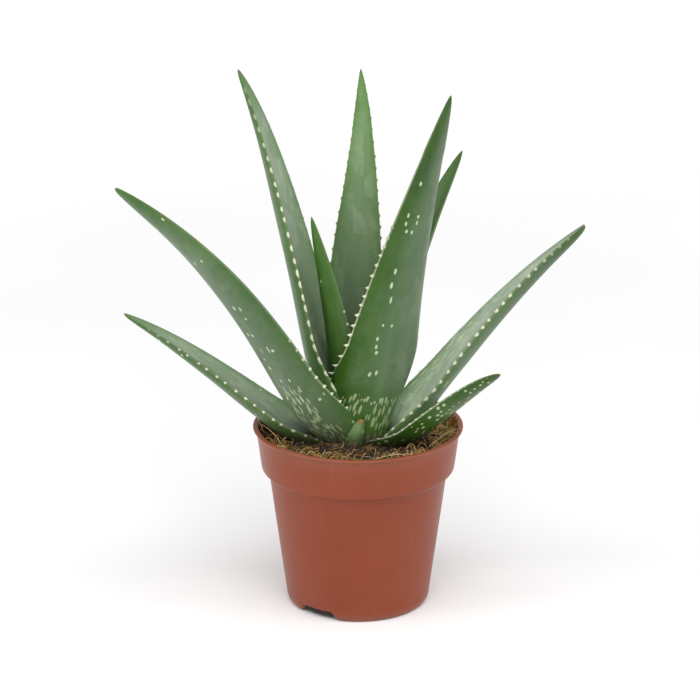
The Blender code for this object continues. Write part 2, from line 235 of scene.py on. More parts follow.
class Nodes:
    """A small hand for building node trees."""

    def __init__(self, tree):
        self.tree = tree
        self.tree.nodes.clear()

    def add(self, kind, inputs=None, **settings):
        node = self.tree.nodes.new(kind)
        for key, value in settings.items():
            setattr(node, key, value)
        for key, value in (inputs or {}).items():
            socket = node.inputs[key]
            if isinstance(value, bpy.types.NodeSocket):
                self.tree.links.new(value, socket)
            else:
                socket.default_value = value
        return node

    def attribute(self, name, vector=False):
        node = self.add("ShaderNodeAttribute", attribute_name=name, attribute_type="GEOMETRY")
        return node.outputs["Vector" if vector else "Fac"]

    def math(self, operation, a, b=0.0, clamp=False):
        return self.add(
            "ShaderNodeMath", {0: a, 1: b}, operation=operation, use_clamp=clamp
        ).outputs[0]

    def span(self, value, low, high, to_low=0.0, to_high=1.0):
        node = self.add(
            "ShaderNodeMapRange",
            {"Value": value, "From Min": low, "From Max": high, "To Min": to_low, "To Max": to_high},
            interpolation_type="SMOOTHSTEP",
        )
        return node.outputs[0]

    def stretch(self, vector, scale):
        return self.add(
            "ShaderNodeVectorMath", {0: vector, 1: scale}, operation="MULTIPLY"
        ).outputs[0]

    def noise(self, vector, scale, detail=3.0, rough=0.55, distortion=0.0):
        node = self.add(
            "ShaderNodeTexNoise",
            {"Vector": vector, "Scale": scale, "Detail": detail, "Roughness": rough,
             "Distortion": distortion},
        )
        return node.outputs[0]

    def mix(self, factor, a, b):
        node = self.add("ShaderNodeMix", data_type="RGBA")
        for socket, value in ((node.inputs[0], factor), (node.inputs[6], a), (node.inputs[7], b)):
            if isinstance(value, bpy.types.NodeSocket):
                self.tree.links.new(value, socket)
            else:
                socket.default_value = value
        return node.outputs[2]

    def ramp(self, value, stops):
        node = self.add("ShaderNodeValToRGB", {0: value})
        ramp = node.color_ramp
        while len(ramp.elements) < len(stops):
            ramp.elements.new(0.5)
        for element, (position, colour) in zip(ramp.elements, stops):
            element.position = position
            element.color = (*colour, 1.0)
        return node.outputs[0]

    def between(self, value, low, high, colours):
        """From the first colour at low to the second at high."""
        return self.ramp(value, list(zip((low, high), colours)))

    def scaled(self, colour, scale):
        return self.add(
            "ShaderNodeVectorMath", {0: colour, "Scale": scale}, operation="SCALE"
        ).outputs[0]


def new_material(name):
    material = bpy.data.materials.new(name)
    material.use_nodes = True
    return material, Nodes(material.node_tree)


def close_material(n, colour, roughness, normal, **constants):
    shader = n.add("ShaderNodeBsdfPrincipled", {"Base Color": colour, "Roughness": roughness})
    if normal is not None:
        n.tree.links.new(normal, shader.inputs["Normal"])
    for key, value in constants.items():
        shader.inputs[key.replace("_", " ")].default_value = value
    out = n.add("ShaderNodeOutputMaterial")
    n.tree.links.new(shader.outputs[0], out.inputs["Surface"])
    return shader


def bump(n, height, strength, distance):
    node = n.add("ShaderNodeBump", {"Height": height, "Strength": strength, "Distance": distance})
    return node.outputs[0]


GREY_GREEN = ((0.062, 0.120, 0.054), (0.090, 0.160, 0.078))
FULL_GREEN = ((0.024, 0.080, 0.004), (0.050, 0.128, 0.010))
PATCH_GREEN = (0.030, 0.085, 0.012, 1.0)
WAX = (0.262, 0.310, 0.236, 1.0)
FOOT_GREEN = (0.30, 0.34, 0.19, 1.0)
SPOT_PALE = ((0.48, 0.60, 0.31), (0.64, 0.72, 0.47))
TOOTH_CREAM = ((0.66, 0.68, 0.44), (0.84, 0.84, 0.66))
DRIED_BROWN = ((0.13, 0.060, 0.020), (0.38, 0.24, 0.10))
NEAR_SOIL_DARK = (0.020, 0.016, 0.008, 1.0)
DOTS = (0.33, 0.22)  # round spots to the millimetre, across and along


def leaf_skin(name, spots, streak_scale, chalk):
    """Waxy green skin. It reads the leaf's own coordinates, in millimetres, and its zones."""
    material, n = new_material(name)
    lie = n.attribute("lie", vector=True)
    broad = n.noise(n.stretch(lie, (0.10, 0.022, 1.0)), 1.0, 3.0, 0.5)
    lines = n.noise(n.stretch(lie, (1.1, 0.020, 1.0)), 1.0, 3.0, 0.55)
    cloud = n.noise(n.stretch(lie, (0.16, 0.10, 1.0)), 1.0, 5.0, 0.6, 0.8)
    grain = n.noise(lie, 2.6, 3.0, 0.6)

    grey_green = n.between(broad, 0.30, 0.70, GREY_GREEN)
    full_green = n.between(broad, 0.30, 0.70, FULL_GREEN)
    deep = n.math("ADD", n.attribute("deep"), n.span(cloud, 0.30, 0.70, -0.22, 0.22), clamp=True)
    colour = n.mix(deep, grey_green, full_green)

    # Blocky, faint patches of darker skin, where one leaf lay on the next in the bud.
    cells = n.add(
        "ShaderNodeTexVoronoi",
        {"Vector": n.stretch(lie, (0.085, 0.062, 1.0)), "Scale": 1.0, "Randomness": 0.9},
        distance="CHEBYCHEV",
    )
    patch = n.math("MULTIPLY", n.span(cells.outputs["Color"], 0.50, 0.60), n.span(cloud, 0.38, 0.56))
    film = n.math("MULTIPLY", n.attribute("bloom"), n.span(cloud, 0.30, 0.68, 0.55, 1.22))
    film = n.math("MULTIPLY", film, n.math("SUBTRACT", 1.0, n.math("MULTIPLY", patch, 0.35)), clamp=True)
    colour = n.mix(n.math("MULTIPLY", patch, 0.16), colour, PATCH_GREEN)
    colour = n.mix(film, colour, WAX)
    colour = n.scaled(colour, n.span(lines, 0.32, 0.72, 0.97, 1.03))
    # Painted light and shade: each face lighter or darker as light falls on it, the roots much lighter
    # against the shade among the leaves.
    colour = n.scaled(colour, n.math("MULTIPLY", n.attribute("painted_shading"), PAINTED_SHADING_RANGE))
    colour = n.mix(n.attribute("foot"), colour, FOOT_GREEN)

    marks = n.math("MAXIMUM", dashes(n, lie, streak_scale, "streaks", 0.50),
                   dashes(n, lie, DOTS, "dots", 0.34))
    for along, across, size in spots:
        marks = n.math("MAXIMUM", marks, one_spot(n, lie, along, across, size))
    pale = n.scaled(n.between(grain, 0.3, 0.7, SPOT_PALE), chalk)
    colour = n.mix(n.math("MULTIPLY", marks, 0.72), colour, pale)
    colour = n.mix(n.attribute("edge"), colour, n.between(grain, 0.3, 0.7, TOOTH_CREAM))
    colour = n.mix(n.attribute("brown"), colour, n.between(grain, 0.35, 0.65, DRIED_BROWN))

    # Near black in a ragged band just above the soil.
    place = n.add("ShaderNodeTexCoord").outputs["Object"]
    height = n.add("ShaderNodeSeparateXYZ", {"Vector": place}).outputs[2]
    near_soil_band = n.math("ADD", n.span(height, 0.099, 0.112, 0.95, 0.0), n.span(grain, 0.3, 0.7, -0.28, 0.28))
    near_soil_darkening = n.math("MULTIPLY", near_soil_band, n.span(height, 0.104, 0.121, 0.9, 0.0), clamp=True)
    colour = n.mix(near_soil_darkening, colour, NEAR_SOIL_DARK)

    rough = n.span(cloud, 0.25, 0.75, 0.33, 0.47)
    relief = n.math("ADD", n.math("MULTIPLY", lines, 0.7), n.math("MULTIPLY", grain, 0.25))
    relief = n.math("ADD", relief, n.math("MULTIPLY", marks, 0.4))
    close_material(n, colour, rough, bump(n, relief, 0.12, 0.0004), IOR=1.37)
    return material


def dashes(n, lie, scale, field, radius):
    """Scattered ellipses, one to a cell; field says how many of the cells hold one."""
    stretched = n.stretch(lie, (*scale, 1.0))
    cells = n.add(
        "ShaderNodeTexVoronoi",
        {"Vector": stretched, "Scale": 1.0, "Randomness": 0.85},
        voronoi_dimensions="2D",
    )
    parts = n.add("ShaderNodeSeparateColor", {"Color": cells.outputs["Color"]})
    held = n.math("LESS_THAN", parts.outputs[0], n.attribute(field))
    size = n.span(parts.outputs[1], 0.0, 1.0, 0.55 * radius, radius)
    near = n.math("DIVIDE", cells.outputs["Distance"], size)
    return n.math("MULTIPLY", held, n.span(near, 0.62, 1.0, 1.0, 0.0))


def one_spot(n, lie, along, across, size):
    """A single ellipse on the lower face, its place and size in millimetres."""
    away = n.add("ShaderNodeVectorMath", {0: lie, 1: (across, along, 0.0)}, operation="SUBTRACT")
    away = n.stretch(away.outputs[0], (2.0 / size[1], 2.0 / size[0], 0.35))
    length = n.add("ShaderNodeVectorMath", {0: away}, operation="LENGTH").outputs["Value"]
    return n.span(length, 0.70, 1.05, 1.0, 0.0)


def pot_plastic():
    material, n = new_material("terracotta_plastic")
    place = n.add("ShaderNodeTexCoord").outputs["Object"]
    cloud = n.noise(place, 22.0, 4.0, 0.55)
    fleck = n.noise(place, 900.0, 2.0, 0.6)
    streak = n.noise(n.stretch(place, (260.0, 260.0, 14.0)), 1.0, 3.0, 0.5)
    colour = n.ramp(cloud, [(0.25, (0.208, 0.037, 0.011)), (0.75, (0.236, 0.045, 0.014))])
    colour = n.mix(n.span(streak, 0.55, 0.85, 0.0, 0.10), colour, (0.36, 0.15, 0.10, 1.0))
    colour = n.mix(n.span(fleck, 0.62, 0.80, 0.0, 0.25), colour, (0.20, 0.045, 0.022, 1.0))
    dust = n.math("MULTIPLY", n.attribute("dust"), n.span(cloud, 0.3, 0.7, 0.4, 1.0))
    colour = n.mix(dust, colour, (0.33, 0.17, 0.11, 1.0))
    rough = n.span(cloud, 0.25, 0.75, 0.34, 0.44)
    relief = n.math("ADD", n.math("MULTIPLY", fleck, 0.4), n.math("MULTIPLY", streak, 0.5))
    close_material(n, colour, rough, bump(n, relief, 0.16, 0.0003), IOR=1.38)
    return material


def peat():
    material, n = new_material("peat")
    place = n.add("ShaderNodeTexCoord").outputs["Object"]
    crumb = n.noise(place, 420.0, 6.0, 0.7)
    patch = n.noise(place, 60.0, 4.0, 0.6)
    colour = n.ramp(crumb, [(0.30, (0.004, 0.003, 0.002)), (0.55, (0.018, 0.011, 0.006)),
                            (0.80, (0.080, 0.045, 0.020))])
    colour = n.mix(n.span(patch, 0.5, 0.75, 0.0, 0.35), colour, (0.10, 0.055, 0.018, 1.0))
    close_material(n, colour, n.span(crumb, 0.3, 0.8, 0.8, 1.0), bump(n, crumb, 0.9, 0.0012))
    return material


def litter():
    """Fibres and crumbs, coloured one by one."""
    material, n = new_material("litter")
    tint = n.add("ShaderNodeAttribute", attribute_name="tint", attribute_type="GEOMETRY")
    place = n.add("ShaderNodeTexCoord").outputs["Object"]
    grain = n.noise(place, 700.0, 3.0, 0.6)
    shade = n.span(grain, 0.25, 0.75, 0.6, 1.25)
    colour = n.scaled(tint.outputs["Color"], shade)
    close_material(n, colour, n.span(grain, 0.3, 0.7, 0.65, 0.9), bump(n, grain, 0.5, 0.0003))
    return material


def stem_skin():
    material, n = new_material("stem_skin")
    place = n.add("ShaderNodeTexCoord").outputs["Object"]
    rings = n.noise(n.stretch(place, (40.0, 40.0, 600.0)), 1.0, 3.0, 0.6)
    colour = n.ramp(rings, [(0.3, (0.22, 0.22, 0.09)), (0.7, (0.40, 0.42, 0.20))])
    close_material(n, colour, n.span(rings, 0.3, 0.7, 0.5, 0.7), bump(n, rings, 0.4, 0.0005))
    return material


def studio_floor():
    """Plain white. It glows a little, more with distance, so that it stays white to the horizon."""
    material, n = new_material("studio_floor")
    place = n.add("ShaderNodeTexCoord").outputs["Object"]
    soft = n.noise(place, 3.0, 2.0, 0.5)
    colour = n.ramp(soft, [(0.3, (0.90, 0.90, 0.90)), (0.7, (0.93, 0.93, 0.93))])
    distance = n.add("ShaderNodeVectorMath", {0: place}, operation="LENGTH").outputs["Value"]
    shader = close_material(n, colour, n.span(soft, 0.3, 0.7, 0.7, 0.8), None)
    shader.inputs["Emission Color"].default_value = (1.0, 1.0, 1.0, 1.0)
    n.tree.links.new(n.span(distance, 0.35, 1.8, 0.0, 0.42), shader.inputs["Emission Strength"])
    return material


# ---------------------------------------------------------------- mesh helpers


def new_object(name, vertices, faces, material):
    """A smooth mesh object; faces are an array of equal ones or a list of tuples."""
    mesh = bpy.data.meshes.new(name)
    mesh.vertices.add(len(vertices))
    mesh.vertices.foreach_set("co", np.asarray(vertices, np.float32).ravel())
    sizes = np.array([len(f) for f in faces])
    corners = np.concatenate([np.asarray(f) for f in faces])
    mesh.loops.add(len(corners))
    mesh.loops.foreach_set("vertex_index", corners.astype(np.int32))
    mesh.polygons.add(len(sizes))
    mesh.polygons.foreach_set("loop_start", (np.cumsum(sizes) - sizes).astype(np.int32))
    mesh.update(calc_edges=True)
    mesh.validate()
    mesh.shade_smooth()
    mesh.materials.append(material)
    obj = bpy.data.objects.new(name, mesh)
    bpy.context.scene.collection.objects.link(obj)
    return obj


def set_attribute(obj, name, values, kind="FLOAT"):
    layer = obj.data.attributes.new(name, kind, "POINT")
    field = {"FLOAT": "value", "FLOAT_VECTOR": "vector", "FLOAT_COLOR": "color"}[kind]
    layer.data.foreach_set(field, np.asarray(values, np.float32).ravel())


def grid_faces(rows, count):
    """Quads between rings of count points, each ring closed on itself."""
    i = np.arange(rows - 1)[:, None] * count
    j = np.arange(count)[None, :]
    k = (j + 1) % count
    return np.stack([i + j, i + k, i + count + k, i + count + j], -1).reshape(-1, 4)


# ---------------------------------------------------------------- leaves


def bezier(p, a):
    return (1 - a) ** 3 * p[0] + 3 * (1 - a) ** 2 * a * p[1] + 3 * (1 - a) * a * a * p[2] + a**3 * p[3]


def leaf_spine(leaf, shares):
    """Points, directions and length of a leaf's spine at shares of its length."""
    p = np.array(leaf["spine"], float) * MM
    t = np.linspace(0.0, 1.0, 600)[:, None]
    line = bezier(p, t)
    reach = np.concatenate([[0.0], np.cumsum(np.linalg.norm(np.diff(line, axis=0), axis=1))])
    a = np.interp(shares, reach / reach[-1], t[:, 0])[:, None]
    ahead = (1 - a) ** 2 * (p[1] - p[0]) + 2 * (1 - a) * a * (p[2] - p[1]) + a * a * (p[3] - p[2])
    return bezier(p, a), ahead / np.linalg.norm(ahead, axis=1)[:, None], reach[-1]


def tooth_line(rng, length_mm, shares, margin):
    """Along one margin: its height in millimetres, distance to the nearest mark, strength."""
    height, end, mark_long, _, gap, _ = margin
    line = np.zeros(len(shares))
    near = np.full(len(shares), NO_MARK)
    y = shares * length_mm
    at = 0.05 * length_mm + rng.uniform(0.0, 3.0)
    while at < 0.965 * length_mm * end:
        share = at / length_mm
        left = max(0.0, 1.0 - (share / end) ** 2.2)
        size = height * (0.30 + 0.70 * left) * (1.0 - 0.45 * share) * rng.uniform(0.75, 1.10)
        base = TOOTH_BASE * (1.0 - 0.42 * share) * rng.uniform(0.85, 1.15) * 0.5
        d = y - at
        reach = np.where(d > 0, 1.0 - d / (0.70 * base), 1.0 + d / (1.30 * base))
        line = np.maximum(line, size * np.clip(reach, 0.0, 1.0) ** 1.3)
        spread = mark_long * rng.uniform(0.75, 1.2) * (1.0 - 0.35 * share)
        near = np.minimum(near, np.abs(d + 0.2) / spread)
        at += gap * rng.uniform(0.78, 1.22)
    strength = 0.35 + 0.65 * np.clip(1.0 - (shares / end) ** 3, 0.0, 1.0)
    return line, near, strength


def place_spots(name, index, length_mm, half_at):
    """Each spot of the leaf's groups: across and along in millimetres, and its size."""
    rng = np.random.default_rng(SEED + 500 + index)
    placed = []
    for at, across, in_line, abreast, size in SPOT_GROUPS.get(name, []):
        for i in range(in_line):
            for j in range(abreast):
                long, wide = np.array(size) * rng.uniform(0.8, 1.2, 2)
                step, aside = rng.uniform(-0.22, 0.22, 2)
                y = at * length_mm + (i - (in_line - 1) / 2 + step) * SPOT_PITCH[0] * size[0]
                x = across * half_at(at) + (j - (abreast - 1) / 2 + aside) * SPOT_PITCH[1]
                placed.append((x, y, (long, wide)))
    return placed


def window(x, low, high, soft):
    return smoothstep((x - low) / soft + 0.5) * smoothstep((high - x) / soft + 0.5)


def leaf_axes(leaf, ahead, along):
    """The blade's sideways and upward directions at each station, rolled about the spine."""
    lean = math.radians(leaf["azimuth"])
    side = np.array([-math.sin(lean), math.cos(lean), 0.0])
    side = side - (ahead @ side)[:, None] * ahead
    side /= np.linalg.norm(side, axis=1)[:, None]
    upper = np.cross(ahead, side)
    roll = np.radians(leaf["roll"][0] + leaf["roll"][1] * along)
    return (
        side * np.cos(roll) + upper * np.sin(roll),
        upper * np.cos(roll) - side * np.sin(roll),
    )


def blade_size(leaf, shares):
    """Half width and thickness at each station in millimetres, rounded off at the tip."""
    narrow = (1.0 - shares ** leaf["taper"][0]) ** leaf["taper"][1]
    late = np.clip((shares - BLUNT_START) / (1.0 - BLUNT_START), 0.0, 1.0)
    rounding = np.where(late > 0, np.sqrt(1.0 - late**2), 0.0) * np.minimum(1.0, late * 4.0)
    half = np.hypot(leaf["half"] * narrow, leaf["blunt"] * rounding)
    thinning = ROOT_THINNING + (1.0 - ROOT_THINNING) * smoothstep(shares / ROOT_THIN_END)
    blunt = BLUNT_THICKNESS * leaf["blunt"] * rounding
    return half, np.hypot(leaf["thick"] * thinning * narrow, blunt)[:, None]


def section_ring():
    """Points of a section: u across the blade from -1 to +1, and how its face is turned, above
    zero on the upper face. They run from margin to margin over it and back under the lower one."""
    turn = np.linspace(0.0, math.pi, RING_HALF + 1)
    even = 1.0 - 2.0 * turn / math.pi
    over = MARGIN_CROWDING * np.cos(turn) + (1.0 - MARGIN_CROWDING) * even
    u = np.concatenate([over, over[-2:0:-1]])[None, :]
    facing = np.sqrt(np.clip(1.0 - u**2, 0.0, 1.0))
    facing[:, RING_HALF + 1:] *= -1.0
    return u, facing


def margin_teeth(rng, leaf, length_mm, shares, u, from_margin):
    """How far the teeth push each point out, in millimetres, and how strong their pale marks,
    their brown marks and the pale margin are there."""
    reach, tooth, brown, pale = (np.zeros_like(from_margin) for _ in range(4))
    for sign, margin, rim in zip((1.0, -1.0), leaf["margins"], leaf["rim"]):
        line, near, strength = tooth_line(rng, length_mm, shares, margin)
        mark_wide, mark_pale = margin[3], margin[5]
        strength = strength[:, None]
        here = u * sign > 0
        pull = np.where(here, np.clip(1.0 - from_margin / TOOTH_ROOT, 0.0, 1.0) ** 1.6, 0.0)
        reach += sign * pull * line[:, None]
        away = np.hypot(near[:, None], from_margin / mark_wide)
        mark = np.where(here, 1.0 - smoothstep((away - 0.70) / 0.40), 0.0) * strength
        if mark_pale > 0:
            tooth = np.maximum(tooth, mark * mark_pale)
        else:
            brown = np.maximum(brown, -mark * mark_pale)
        band = rim * (1.0 - smoothstep((from_margin - 0.12) / 0.26))
        band = band * np.maximum(strength**2, 0.35)
        pale = np.maximum(pale, np.where(here, band, 0.0))
    return reach, tooth, brown, pale


def skin_fields(name, leaf, along, u, facing, from_margin, tooth, tooth_brown, pale):
    """The zones that the skin's material reads, by name, each from 0 to 1."""
    flat = np.zeros_like(from_margin)
    streaks = flat.copy()
    for face, (start, end), (left, right), amount in STREAKS.get(name, []):
        field = window(along, start, end, 0.03) * window(u, left, right, 0.15)
        streaks = np.maximum(streaks, np.where(facing * face > 0, amount * field, 0.0))
    dots = leaf["dots"] * window(along, 0.03, 0.93, 0.05) * window(np.abs(u), -1.0, 0.93, 0.08)
    dots = np.where(facing < 0, dots, 0.4 * dots)

    over = smoothstep(facing * 4.0 + 0.5)
    near_margin = np.exp(-from_margin / MARGIN_GREEN)
    low = 1.0 - smoothstep(along / 0.24)
    last_part = smoothstep((along - 0.80) / 0.2)
    green_foot = leaf["green_foot"] * low

    top, under = leaf["bloom"]
    # Towards the + margin of the lower face the film grows: there it is part pale film, part painted sheen.
    bloom = (1.0 - over) * (under + leaf["drift"] * u) + over * top
    bloom = bloom * (1.0 - 0.75 * near_margin) * (0.85 + 0.3 * along)
    bloom = bloom * (1.0 - 0.55 * last_part)
    bloom = bloom * (1.0 - green_foot)
    deep = leaf["deep"] + 0.45 * low + 0.35 * near_margin + 0.25 * last_part
    deep = deep - 0.8 * leaf["drift"] * u * (facing < 0) + flat

    brown = smoothstep((along - 0.988) / 0.012) * 0.2 + flat
    if leaf["broken"]:
        brown = smoothstep((along - 0.86) / 0.10) + flat
    faint = 1.0 - 0.55 * smoothstep((along - 0.70) / 0.25)
    edge = np.maximum(pale * window(along, 0.02, 0.95, 0.1), tooth) * faint
    # Painted light and shade: upper and lower faces lighter or darker as light falls on them, the root much
    # lighter against the shade among the leaves, a green foot lighter still.
    painted_shading = over * leaf["painted_shading"][0] + (1.0 - over) * leaf["painted_shading"][1]
    painted_shading = painted_shading * (1.0 + leaf["rise"] * (along - 0.5) + 0.80 * np.exp(-along / 0.10)) + flat
    painted_shading = painted_shading * (1.0 + 0.35 * green_foot)
    return dict(
        streaks=streaks, dots=dots, bloom=bloom, deep=deep,
        brown=np.maximum(brown, tooth_brown),
        foot=0.7 * (1.0 - smoothstep(along / 0.05)) + flat,
        edge=edge, painted_shading=painted_shading / PAINTED_SHADING_RANGE,
    )


def make_leaf(name, leaf, index):
    rng = np.random.default_rng(SEED + 31 * index)
    length = leaf_spine(leaf, np.array([0.0]))[2]
    length_mm = length / MM
    rows = int(length / STATION_GAP)
    shares = 1.0 - (1.0 - np.linspace(0.0, 1.0, rows + 1)[:-1]) ** STATION_CROWDING
    along = shares[:, None]
    point, ahead, _ = leaf_spine(leaf, shares)
    side, upper = leaf_axes(leaf, ahead, along)
    half, thick = blade_size(leaf, shares)
    bend = (leaf["clasp"] * (1.0 - smoothstep(shares / CLASP_END)) + BLADE_BEND)[:, None]
    u, facing = section_ring()

    root = 1.0 - smoothstep(along / NARROWING_END)
    plus, minus = leaf["narrowing"]
    width = half[:, None] * (1.0 - np.where(u > 0, plus, minus) * root)
    wobble = np.array([noise.noise(Vector((s * 9.0, index * 7.3, 0.0))) for s in shares])
    width = width * (1.0 + WIDTH_WOBBLE * wobble[:, None])

    # The section lies bent round the stem at the root and nearly flat above it.
    x_mm = width * u
    from_margin = width * (1.0 - np.abs(u))
    turn = bend * x_mm
    x = np.sin(turn) / bend
    y = (1.0 - np.cos(turn)) / bend
    rise = np.where(facing > 0, -UPPER_HOLLOW * facing**2, -np.abs(facing) ** 1.3) * thick
    brim = BRIM * np.sqrt(np.clip(1.0 - np.abs(u) ** 6, 0.0, 1.0)) * np.sign(facing)
    rise = rise + brim * np.minimum(1.0, thick)
    reach, tooth, tooth_brown, pale = margin_teeth(rng, leaf, length_mm, shares, u, from_margin)

    # Shallow dents and swellings, as fleshy leaves have.
    swell = np.zeros_like(x)
    for k in range(3):
        phase = rng.uniform(0.0, 6.28, 2)
        swell += np.sin(along * (7 + 6 * k) + phase[0] + 1.3 * k * u) * np.cos(2.0 * u + phase[1])
    rise = rise + SWELLING * swell * facing * np.minimum(1.0, thick / 4.0)

    section_x = x - np.sin(turn) * rise + np.cos(turn) * reach
    section_y = y + np.cos(turn) * rise + np.sin(turn) * reach
    rings = (
        point[:, None]
        + side[:, None] * (section_x * MM)[..., None]
        + upper[:, None] * (section_y * MM)[..., None]
    )
    if leaf["broken"]:
        ragged = [noise.noise(Vector(p) * 900.0) for p in rings[-CRUMBLED_ROWS:].reshape(-1, 3)]
        push = ahead[-1] * np.array(ragged)[:, None] * CRUMBLE * MM
        rings[-CRUMBLED_ROWS:] += push.reshape(CRUMBLED_ROWS, -1, 3)

    # One point closes the tip and one the root.
    tip = rings[-1].mean(0) + ahead[-1] * 0.4 * (1.0 - shares[-1]) * length
    count = u.size
    vertices = np.concatenate([rings.reshape(-1, 3), tip[None], rings[0].mean(0)[None]])
    quads = grid_faces(len(shares), count)
    last = (len(shares) - 1) * count
    fan = [(last + j, last + (j + 1) % count, len(vertices) - 2) for j in range(count)]
    root_fan = [((j + 1) % count, j, len(vertices) - 1) for j in range(count)]

    offset = LEAF_PITCH * index
    spots = [
        (spot_y, spot_x + offset, size)
        for spot_x, spot_y, size in place_spots(
            name, index, length_mm, lambda at: np.interp(at, shares, half)
        )
    ]
    streak_scale = STREAK_SCALE.get(name, USUAL_STREAKS)
    skin = leaf_skin(f"{name}_skin", spots, streak_scale, leaf["chalk"])
    obj = new_object(name + "_skin", vertices, list(map(tuple, quads)) + fan + root_fan, skin)

    fields = skin_fields(name, leaf, along, u, facing, from_margin, tooth, tooth_brown, pale)
    ends = dict(brown=(0.4, 0.0), foot=(0.0, 0.7), deep=(0.9, 0.9), painted_shading=(0.25, 0.25))
    for field, values in fields.items():
        caps = ends.get(field, (0.0, 0.0))
        set_attribute(obj, field, np.concatenate([np.clip(values, 0, 1).reshape(-1), caps]))
    place = np.where(facing > 0, UPPER_PLACE, 0.0) + np.zeros_like(x)
    lie = np.stack([x_mm + offset, length_mm * along + np.zeros_like(x), place], -1)
    lies = np.concatenate([lie.reshape(-1, 3), lie[-1, :1], lie[0, :1]])
    set_attribute(obj, "lie", lies, "FLOAT_VECTOR")
    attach(obj, "root")
    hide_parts(name)
    return obj


# ---------------------------------------------------------------- pot

# radius and height in millimetres: the flange at the rim, then the outside and the base
POT_LIP = [
    (57.6, 106.0), (58.4, 106.05), (59.3, 106.0), (59.75, 105.9), (60.0, 105.6), (60.0, 105.1),
    (59.8, 104.75), (59.4, 104.55), (58.9, 104.4), (58.5, 104.15), (58.25, 103.8),
]
POT_LIP_INSIDE = [(56.95, 104.2), (57.05, 105.2), (57.25, 105.8)]
POT_OUTSIDE = [
    (58.1, 103.2), (57.65, 100.0), (57.2, 96.6), (56.6, 92.0), (56.0, 87.0), (55.5, 83.4),
    (55.3, 82.4), (55.25, 81.9), (55.1, 81.4), (54.85, 81.0), (54.4, 80.6), (53.0, 79.75),
    (51.9, 79.1), (51.4, 78.6), (51.1, 78.0), (50.8, 76.0), (50.0, 70.4), (47.7, 53.0),
    (45.3, 35.0), (43.3, 20.3), (41.5, 7.0), (41.35, 5.6), (41.25, 4.4), (41.0, 3.3),
    (40.6, 2.2), (40.0, 1.2), (39.3, 0.55), (38.5, 0.15), (37.6, 0.0), (34.4, 0.0),
    (33.6, 0.4), (33.0, 1.4), (32.6, 3.6), (32.4, 5.0), (27.0, 5.0), (20.0, 5.0), (14.8, 5.0),
    (14.2, 3.0), (13.6, 1.0), (13.0, 0.3), (12.4, 0.0), (6.0, 0.0), (0.4, 0.0),
]
POT_WALL = 1.2
POT_STEPS = 288
ARCH_AZIMUTHS = (234, 54)
ARCH_HALF_ANGLE = 17.0
ARCH_HEIGHT = 4.6
ARCH_EASE = 3.0  # degrees past the arch in which the foot starts to rise
FOOT_INSIDE, FOOT_TOP = 31.5, 8.0  # the part of the profile that the arches lift
DRAIN_COUNT = 6
DRAIN_RADIUS = 3.5 * MM
DRAIN_CIRCLE = 23.0 * MM


def make_pot(plastic):
    """The moulding turned in fine steps, its foot lifted into two smooth arches."""
    outside = np.array(POT_OUTSIDE)
    along = np.gradient(outside, axis=0)
    along /= np.linalg.norm(along, axis=1)[:, None]
    inward = np.stack([along[:, 1], -along[:, 0]], -1)
    inner = outside + inward * POT_WALL
    inner[:, 0] = np.maximum(inner[:, 0], 0.4)
    profile = np.concatenate([POT_LIP, outside, inner[::-1], POT_LIP_INSIDE])
    steps = POT_STEPS
    angle = np.linspace(0.0, 2.0 * math.pi, steps, endpoint=False)
    r = profile[:, 0][:, None] + 0 * angle
    z = profile[:, 1][:, None] + 0 * angle
    lift = np.zeros(steps)
    for azimuth in ARCH_AZIMUTHS:
        away = np.abs((np.degrees(angle) - azimuth + 180.0) % 360.0 - 180.0)
        side = smoothstep((ARCH_HALF_ANGLE + ARCH_EASE - away) / 8.0)
        lift = np.maximum(lift, ARCH_HEIGHT * side)
    in_foot = (r > FOOT_INSIDE) & (z < FOOT_TOP)
    squeezed = lift[None, :] + z * (1.0 - lift[None, :] / FOOT_TOP)
    z = np.where(in_foot, squeezed, z)
    lip = np.array([noise.noise(Vector((math.cos(a) * 2.2, math.sin(a) * 2.2, 3.0))) for a in angle])
    r = r + np.where(z > 100.0, 0.16, 0.05) * lip[None, :]
    vertices = np.stack([r * np.cos(angle), r * np.sin(angle), z], -1) * MM
    count = len(profile)
    quads = grid_faces(count, steps)
    last = (count - 1) * steps
    close = np.stack([
        last + np.arange(steps), last + (np.arange(steps) + 1) % steps,
        (np.arange(steps) + 1) % steps, np.arange(steps),
    ], -1)
    faces = np.concatenate([quads, close])[:, ::-1]
    pot = new_object("pot_shell", vertices.reshape(-1, 3), faces, plastic)
    height = z.reshape(-1)
    dust = np.clip((height - 96.0) / 9.0, 0, 1) * 0.25 + np.clip((6.0 - height) / 6.0, 0, 1) * 0.35
    set_attribute(pot, "dust", dust)

    drill(pot)
    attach(pot, "root")
    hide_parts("pot")
    return pot


def drill(pot):
    """The drain holes, through the pot's raised floor."""
    cutters = []
    for i in range(DRAIN_COUNT):
        a = 2 * math.pi * i / DRAIN_COUNT
        bpy.ops.mesh.primitive_cylinder_add(
            vertices=40, radius=DRAIN_RADIUS, depth=0.008,
            location=(DRAIN_CIRCLE * math.cos(a), DRAIN_CIRCLE * math.sin(a), 0.0056),
        )
        cutters.append(bpy.context.object)
    for cutter in cutters:
        modifier = pot.modifiers.new("drain", "BOOLEAN")
        modifier.operation, modifier.solver, modifier.object = "DIFFERENCE", "MANIFOLD", cutter
    bpy.context.view_layer.objects.active = pot
    for modifier in list(pot.modifiers):
        bpy.ops.object.modifier_apply(modifier=modifier.name)
    for cutter in cutters:
        bpy.data.objects.remove(cutter)
    pot.data.shade_smooth()


# ---------------------------------------------------------------- soil

SOIL_TOP = [(0.0, 100.6), (12.0, 100.4), (24.0, 99.9), (36.0, 99.3), (47.0, 98.6), (55.9, 97.8)]
SOIL_RADIUS = 56.6
SOIL_UNDERSIDE = 95.5
SOIL_RINGS, SOIL_STEPS = 150, 420


